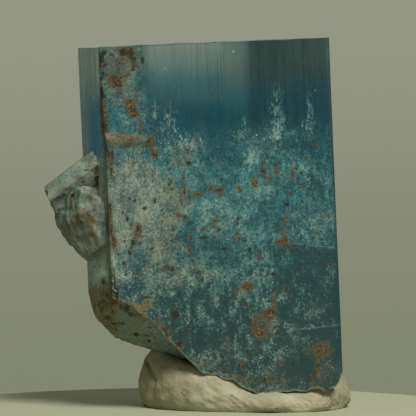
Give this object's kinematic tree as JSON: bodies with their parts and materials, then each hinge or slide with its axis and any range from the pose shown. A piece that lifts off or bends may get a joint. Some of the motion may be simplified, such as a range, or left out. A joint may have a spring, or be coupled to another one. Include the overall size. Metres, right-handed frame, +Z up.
{
  "type": "aquamarine crystal",
  "caption": "Flat-topped hexagonal aquamarine prism with a small cross-grown crystal at its side, standing in a pressed lump of display putty.",
  "frame": {"origin": "on the putty's flat underside, below the middle of the whole object's box", "axes": "+Z up, along the crystal's height; -Y out of its broad front face; -X towards its small side crystal"},
  "size_m": [0.031, 0.0166, 0.0375],
  "materials": {
    "aquamarine": "satin",
    "display_putty": "matte"
  },
  "bodies": {
    "root": {"crystal": "aquamarine", "putty": "display_putty"}
  },
  "joints": []
}
